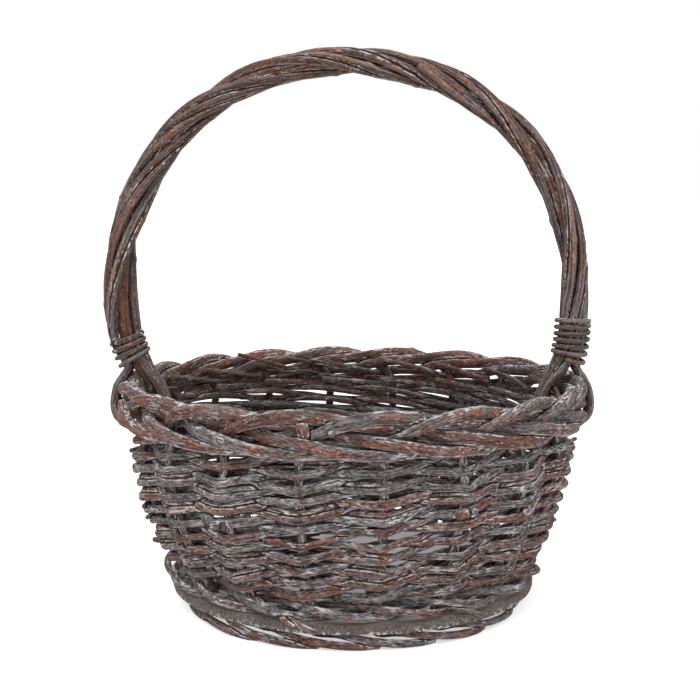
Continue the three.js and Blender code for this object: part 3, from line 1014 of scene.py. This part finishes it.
class Bark(Finish):
    """The bark of one kind of rod: layers of colour that share the rod's own marks."""

    def __init__(self, name, length, mottled, contrast, warm_shift, stain, crevice_shade_size,
                 chalk_shift):
        super().__init__(name)
        self.grain = self.attribute("grain", "Vector")
        normal = self.add("NewGeometry").outputs["Normal"]
        self.facing = self.add("SeparateXYZ", {0: normal}).outputs["Z"]
        self.speck = self.marks(0.35, 1.4)
        self.patch = self.marks(0.25, 0.4, detail=3.0)
        self.broad = self.marks(0.5, 0.13)
        fibre = self.ramp(self.marks(0.06 / length, 0.7, rough=0.5), 0.4, 0.6)
        mottle = self.ramp(self.marks(0.4 / length, 1.0, rough=0.5), 0.4, 0.6)
        self.streak = self.blend((fibre, contrast * (1 - mottled)), (mottle, contrast * mottled),
                                 (1.0, (1 - contrast) / 2))
        self.inner = self.attribute("inner")
        uneven = self.math("SUBTRACT", self.patch, 0.5)
        self.warm = self.blend((self.attribute("warm"), 1.0), (uneven, 2.0), (self.facing, -0.1),
                               (self.inner, -0.15), (1.0, warm_shift))
        near = self.attribute("chalk_and_painted_light")
        # Painted shade where rods touch each other; chalk a little further out
        crevice_shade = self.ramp(near, 1.0 - crevice_shade_size, 1.05 - 0.3 * crevice_shade_size)
        rim = self.math("SUBTRACT", self.ramp(near, 0.0, 0.4), crevice_shade)
        self.colour = self.streaked(GREY)
        self.stain(*stain)
        self.weather()
        self.chalk_and_painted_light(rim, chalk_shift)
        cracks = self.crack(crevice_shade)
        self.dress("Base Color", self.colour)
        self.bump(self.blend((self.streak, 1.0), (self.speck, 0.8), (cracks, -0.6)), 0.8, 0.0006)

    def marks(self, along, scale, detail=2.0, rough=0.6, across=1.0):
        """Noise on the rod's own grain, which is drawn out along and across the rod."""
        inputs = {0: self.grain, 1: (across, across, along)}
        drawn = self.add("VectorMath", inputs, operation="MULTIPLY").outputs["Vector"]
        return self.noise(drawn, scale, detail, rough)

    def streaked(self, tones):
        return self.mix(self.streak, *tones)

    def cover(self, share, strength, over):
        """Lays another colour over the one so far."""
        self.colour = self.mix(self.times(share, strength), self.colour, over)

    def stain(self, strength, *tones):
        """Brown and red bark on grey, with amber patches and reddish stain."""
        for low, high, pair in ((0.2, 0.6, BROWN), (0.65, 1.1, RED)):
            share = self.ramp(self.warm, low, high)
            self.colour = self.mix(share, self.colour, self.streaked(pair))
        amber = self.times(self.ramp(self.patch, 0.56, 0.68), self.ramp(self.warm, 0.4, 0.9))
        self.cover(amber, 0.7, self.streaked(AMBER))
        stain = self.ramp(self.marks(0.1, 0.5, rough=0.5), 0.46, 0.6)
        stain = self.times(stain, self.ramp(self.warm, 0.3, 0.7))
        self.cover(stain, strength, self.streaked(tones))

    def weather(self):
        """Dust on top, dark stretches, a painted highlight on the underside and painted shade
        inside.
        """
        self.cover(self.ramp(self.facing, 0.2, 0.9), 0.4, self.streaked(DUST))
        dark = self.blend((self.attribute("dark"), 1.0), (self.broad, 1.0))
        self.cover(self.ramp(dark, 0.85, 1.5), 0.5, SHADE)
        # Painted highlight: the undersides are lighter, as if lit from below
        painted_underlight = self.ramp(self.times(self.facing, -1.0), 0.55, 0.95)
        painted_underlight = self.times(painted_underlight, self.ramp(self.patch, 0.35, 0.55))
        self.cover(painted_underlight, 0.55, UNDERSIDE_HIGHLIGHT)
        # Painted shade inside the basket
        self.cover(self.inner, 0.47, INSIDE_SHADE)

    def chalk_and_painted_light(self, rim, chalk_shift):
        """White chalky strokes beside the crevices, a painted highlight in such strokes on the
        rods' upper and lower edges, and white flecks.
        """
        lit = self.times(self.ramp(self.inner, 1.9, 0.0), 0.9)
        # Painted highlight: the strokes also go on the rods' upper and lower edges
        edge = self.ramp(self.math("ABSOLUTE", self.facing), 0.6, 0.95)
        zone = self.blend((rim, 0.85), (edge, 0.4), (self.broad, 1.9),
                          (self.attribute("wash"), 0.5), (1.0, chalk_shift - 0.42))
        strokes = self.ramp(self.marks(0.22, 1.0), 0.49, 0.56)
        self.cover(self.times(self.ramp(zone, 0.5, 1.0), strokes), lit, CHALK)
        beside = self.ramp(self.blend((rim, 0.5), (self.patch, 1.0)), 0.4, 0.8)
        self.cover(self.times(self.ramp(self.speck, 0.58, 0.66), beside), lit, FLECK)

    def crack(self, crevice_shade):
        """Dark cracks, splits at the bends and painted shade in the crevices."""
        splits = self.ramp(self.marks(1.0, 1.6, across=0.25), 0.55, 0.62)
        splits = self.times(splits, self.attribute("kink"))
        cracks = self.ramp(self.math("SUBTRACT", 1.0, self.speck), 0.6, 0.68)
        cracks = self.times(self.math("MAXIMUM", cracks, splits), 0.85)
        # The crevices get painted shade in the crack colour
        cracks = self.math("MAXIMUM", cracks, self.times(crevice_shade, 0.88))
        self.colour = self.mix(cracks, self.colour, CRACK_AND_SHADE)
        return cracks


def cut_material():
    m = Finish("cut_willow")
    pith = m.noise(m.attribute("grain", "Vector"), 1.8, 4.0)
    m.dress("Base Color", m.mix(pith, "2e2320", "8f7362"))
    return m.material


def board_material():
    m = Finish("washed_board", 0.85)
    place = m.add("TexCoord").outputs["Object"]
    speck = m.noise(place, 900.0)
    blotch = m.noise(place, 160.0, 4.0)
    drift = m.noise(place, 30.0)
    edge = m.mix(m.ramp(speck, 0.35, 0.65), "524c49", "877f7b")
    edge = m.mix(m.times(m.ramp(drift, 0.45, 0.7), 0.5), edge, "6b5a50")
    drips = m.times(m.ramp(m.noise(place, 420.0), 0.54, 0.62), m.attribute("low"))
    edge = m.mix(drips, edge, "e4e1df")
    face = m.mix(blotch, "a7a2a6", "c4c0c3")
    m.dress("Base Color", m.mix(m.attribute("side"), face, edge))
    m.bump(m.math("ADD", speck, blotch), 0.6, 0.0008)
    return m.material


# The board, and its profile from below to above: how far each place lies in from the edge, how
# high it is, how far it belongs to the side, and how low on it
EDGE_STEPS = 240
EDGE_ROUND = 0.9
EDGE_WEAR = (9, 0.3)
EDGE_GROWTH = 0.1
BOARD_CORE = 48.6
BOARD_PROFILE = (
    (BOARD_CORE, FOOT_HEIGHT, 0, 0),
    (3 * EDGE_ROUND, FOOT_HEIGHT, 0, 1),
    (EDGE_ROUND, FOOT_HEIGHT, 1, 1),
    (0.25 * EDGE_ROUND, FOOT_HEIGHT + 0.3 * EDGE_ROUND, 1, 1),
    (0, FOOT_HEIGHT + EDGE_ROUND, 1, 0.8),
    (0, FOOT_HEIGHT + 0.35 * BOARD_THICKNESS, 1, 0.3),
    (0, FOOT_HEIGHT + 0.65 * BOARD_THICKNESS, 1, 0),
    (0, BOARD_TOP - EDGE_ROUND, 1, 0),
    (0.25 * EDGE_ROUND, BOARD_TOP - 0.3 * EDGE_ROUND, 1, 0),
    (EDGE_ROUND, BOARD_TOP, 0.6, 0),
    (4 * EDGE_ROUND, BOARD_TOP, 0, 0),
    (BOARD_CORE, BOARD_TOP, 0, 0),
)
DRILL_SIDES = 20


def board_piece():
    rng = random.Random(BOARD_SEED)
    rough = wander(rng, EDGE_STEPS, *EDGE_WEAR, step=2.8)
    points, side, drip = [], [], []
    for inset, z, is_side, is_low in BOARD_PROFILE:
        for i in range(EDGE_STEPS):
            worn = rough[i] * is_side + (rng.uniform(-0.12, 0.12) if is_side else 0.0)
            radius = BOARD_RADIUS - inset + min(worn, EDGE_GROWTH)
            points.append(polar(TURN * i / EDGE_STEPS, radius, z))
            side.append(is_side)
            drip.append(is_low)
    mesh = new_mesh("board", points, stack_faces(0, len(BOARD_PROFILE), EDGE_STEPS))
    paint(mesh, "side", side)
    paint(mesh, "low", drip)
    piece = add_object("base_board_washed", mesh)
    mesh.materials.append(board_material())
    drill(piece)
    for polygon in piece.data.polygons:
        polygon.use_smooth = len(polygon.vertices) == 4
    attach(piece, "root")
    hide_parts("base_board")


def drill(piece):
    """Cuts a round hole for each stake."""
    points, faces = [], []
    for k in range(STAKES):
        centre = polar(stake_angle(k), HOLE_CIRCLE, 0)
        faces.extend(stack_faces(len(points), 2, DRILL_SIDES))
        for z in (FOOT_HEIGHT - 2, BOARD_TOP + 2):
            for i in range(DRILL_SIDES):
                angle = TURN * i / DRILL_SIDES
                points.append(centre + polar(angle, STAKE_RADIUS + 2 * CLEARANCE, z))
    tool = add_object("drills", new_mesh("drills", points, faces))
    cut = piece.modifiers.new("holes", "BOOLEAN")
    cut.operation = "DIFFERENCE"
    cut.object = tool
    cut.solver = "EXACT"
    shaped = piece.evaluated_get(bpy.context.evaluated_depsgraph_get())
    shaped = bpy.data.meshes.new_from_object(shaped)
    piece.modifiers.clear()
    piece.data = shaped
    bpy.data.objects.remove(tool)


# Chalk gathers where two rods lie close together, and where they touch the material paints shade.
CHALK_REACH = 1.5
NEIGHBOURS = 14


def chalk_and_shade_all():
    rings = sum(len(store["points"]) // SIDES for _, store in pieces)
    tree = kdtree.KDTree(rings)
    owners, radii = [], []
    for index, (_, store) in enumerate(pieces):
        points = np.array(store["points"]).reshape(-1, SIDES, 3)
        centres = points.mean(axis=1)
        size = norm(points - centres[:, None, :], axis=2).mean(axis=1)
        for centre, radius, rod in zip(centres, size, store["rod"][::SIDES]):
            tree.insert(centre, len(owners))
            owners.append((index, rod))
            radii.append(radius)
    tree.balance()
    for index, (piece, store) in enumerate(pieces):
        values = []
        for point, rod in zip(store["points"], store["rod"]):
            gap = CHALK_REACH
            for _, found, distance in tree.find_n(point, NEIGHBOURS):
                if owners[found] != (index, rod):
                    gap = min(gap, distance - radii[found])
                    break
            values.append(lerp(0, 1, 1 - gap / CHALK_REACH))
        paint(piece.data, "chalk_and_painted_light", values)


# The object
for k in range(STAKES):
    make_piece(f"stake_{k + 1:02d}", [stake_rod(k)] + tucked_tips(k))
for rod in range(WALING_RODS):
    make_piece(f"waling_rod_{rod + 1}", [waling_rod(rod)])
for k in range(STAKES):
    make_piece(f"weaver_{k + 1:02d}", weaver_rods(k), WEAVER_CENTRE)
make_piece("handle_bow", [bow_rod()])
number = 1
for place in range(WRAP_PLACES):
    if place != EMPTY_PLACE:
        make_piece(f"handle_rod_{number}", [wrap_rod(place, number)])
        number += 1
left = binding_rod(LEFT_TURNS, LEFT_PITCH, True, SHORT_TAIL)
right = binding_rod(RIGHT_TURNS, RIGHT_PITCH, False, LONG_TAIL)
make_piece("binding_left", [left])
make_piece("binding_right", [right])
chalk_and_shade_all()

wall_bark = Bark("wall_bark", length=1.2, mottled=0.6, contrast=0.85, warm_shift=0.0,
                 stain=(0.4, "562619", "b9613f"), crevice_shade_size=0.7, chalk_shift=0.05)
stake_bark = Bark("stake_bark", length=1.3, mottled=0.6, contrast=0.75, warm_shift=0.14,
                  stain=(0.6, "5c281a", "ca6e49"), crevice_shade_size=0.7, chalk_shift=-0.04)
handle_bark = Bark("handle_bark", length=2.5, mottled=0.3, contrast=0.7, warm_shift=0.05,
                   stain=(0.8, "52301f", "a87452"), crevice_shade_size=0.8, chalk_shift=-0.27)
cut_wood = cut_material()
for piece, store in pieces:
    finish = wall_bark
    if piece.name.startswith("stake"):
        finish = stake_bark
    elif piece.name.startswith(("handle", "binding")):
        finish = handle_bark
    piece.data.materials.append(finish.material)
    piece.data.materials.append(cut_wood)
    piece.data.polygons.foreach_set("material_index", np.array(store["end"], int))
board_piece()


# Floor, light and camera. To the camera the floor glows a little, and the world is brighter.
FLOOR_GLOW = 0.6
WORLD_STRENGTH = 0.62
CAMERA_PLACE = (-0.00165, -0.8035, 0.2499)
CAMERA_DOWN = 7.145
CAMERA_LENS = 69.6


def floor():
    bpy.ops.mesh.primitive_plane_add(size=40, location=(0, 0, 0))
    plane = bpy.context.object
    plane.name = "floor"
    m = Finish("pale_floor", 1.0, 0.0)
    m.dress("Base Color", (0.8, 0.8, 0.8, 1))
    seen = m.add("LightPath").outputs["Is Camera Ray"]
    none, glow = (m.add("Emission", {"Strength": strength}).outputs[0]
                  for strength in (0.0, FLOOR_GLOW))
    pick = m.add("MixShader", {0: seen, 1: none, 2: glow}).outputs[0]
    both = m.add("AddShader", {0: m.shader.outputs[0], 1: pick}).outputs[0]
    m.plug(m.tree.nodes["Material Output"].inputs["Surface"], both)
    plane.data.materials.append(m.material)


def world():
    sky = bpy.data.worlds.new("studio")
    bpy.context.scene.world = sky
    m = Nodes(sky)
    rays = m.add("LightPath").outputs
    seen = rays["Is Camera Ray"]
    for other in ("Is Glossy Ray", "Is Transmission Ray"):
        seen = m.math("MAXIMUM", seen, rays[other])
    inputs = {"Value": seen, "To Min": WORLD_STRENGTH, "To Max": 1.0}
    strength = m.add("MapRange", inputs).outputs["Result"]
    background = m.tree.nodes["Background"].inputs
    m.plug(background["Color"], (1, 1, 1, 1))
    m.plug(background["Strength"], strength)


def sun(name, strength, size, elevation, azimuth):
    data = bpy.data.lights.new(name, "SUN")
    data.energy = strength
    data.angle = radians(size)
    lamp = add_object(name, data)
    lamp.rotation_euler = (radians(90 - elevation), 0, radians(azimuth))


def camera():
    data = bpy.data.cameras.new("camera")
    data.lens = CAMERA_LENS
    data.sensor_width = 36
    view = add_object("camera", data)
    view.location = CAMERA_PLACE
    view.rotation_euler = (radians(90 - CAMERA_DOWN), 0, 0)
    bpy.context.scene.camera = view


floor()
world()
sun("key", strength=1.3, size=50, elevation=60, azimuth=-25)
sun("fill", strength=0.5, size=70, elevation=40, azimuth=40)
camera()
bpy.context.scene.view_settings.view_transform = "Standard"
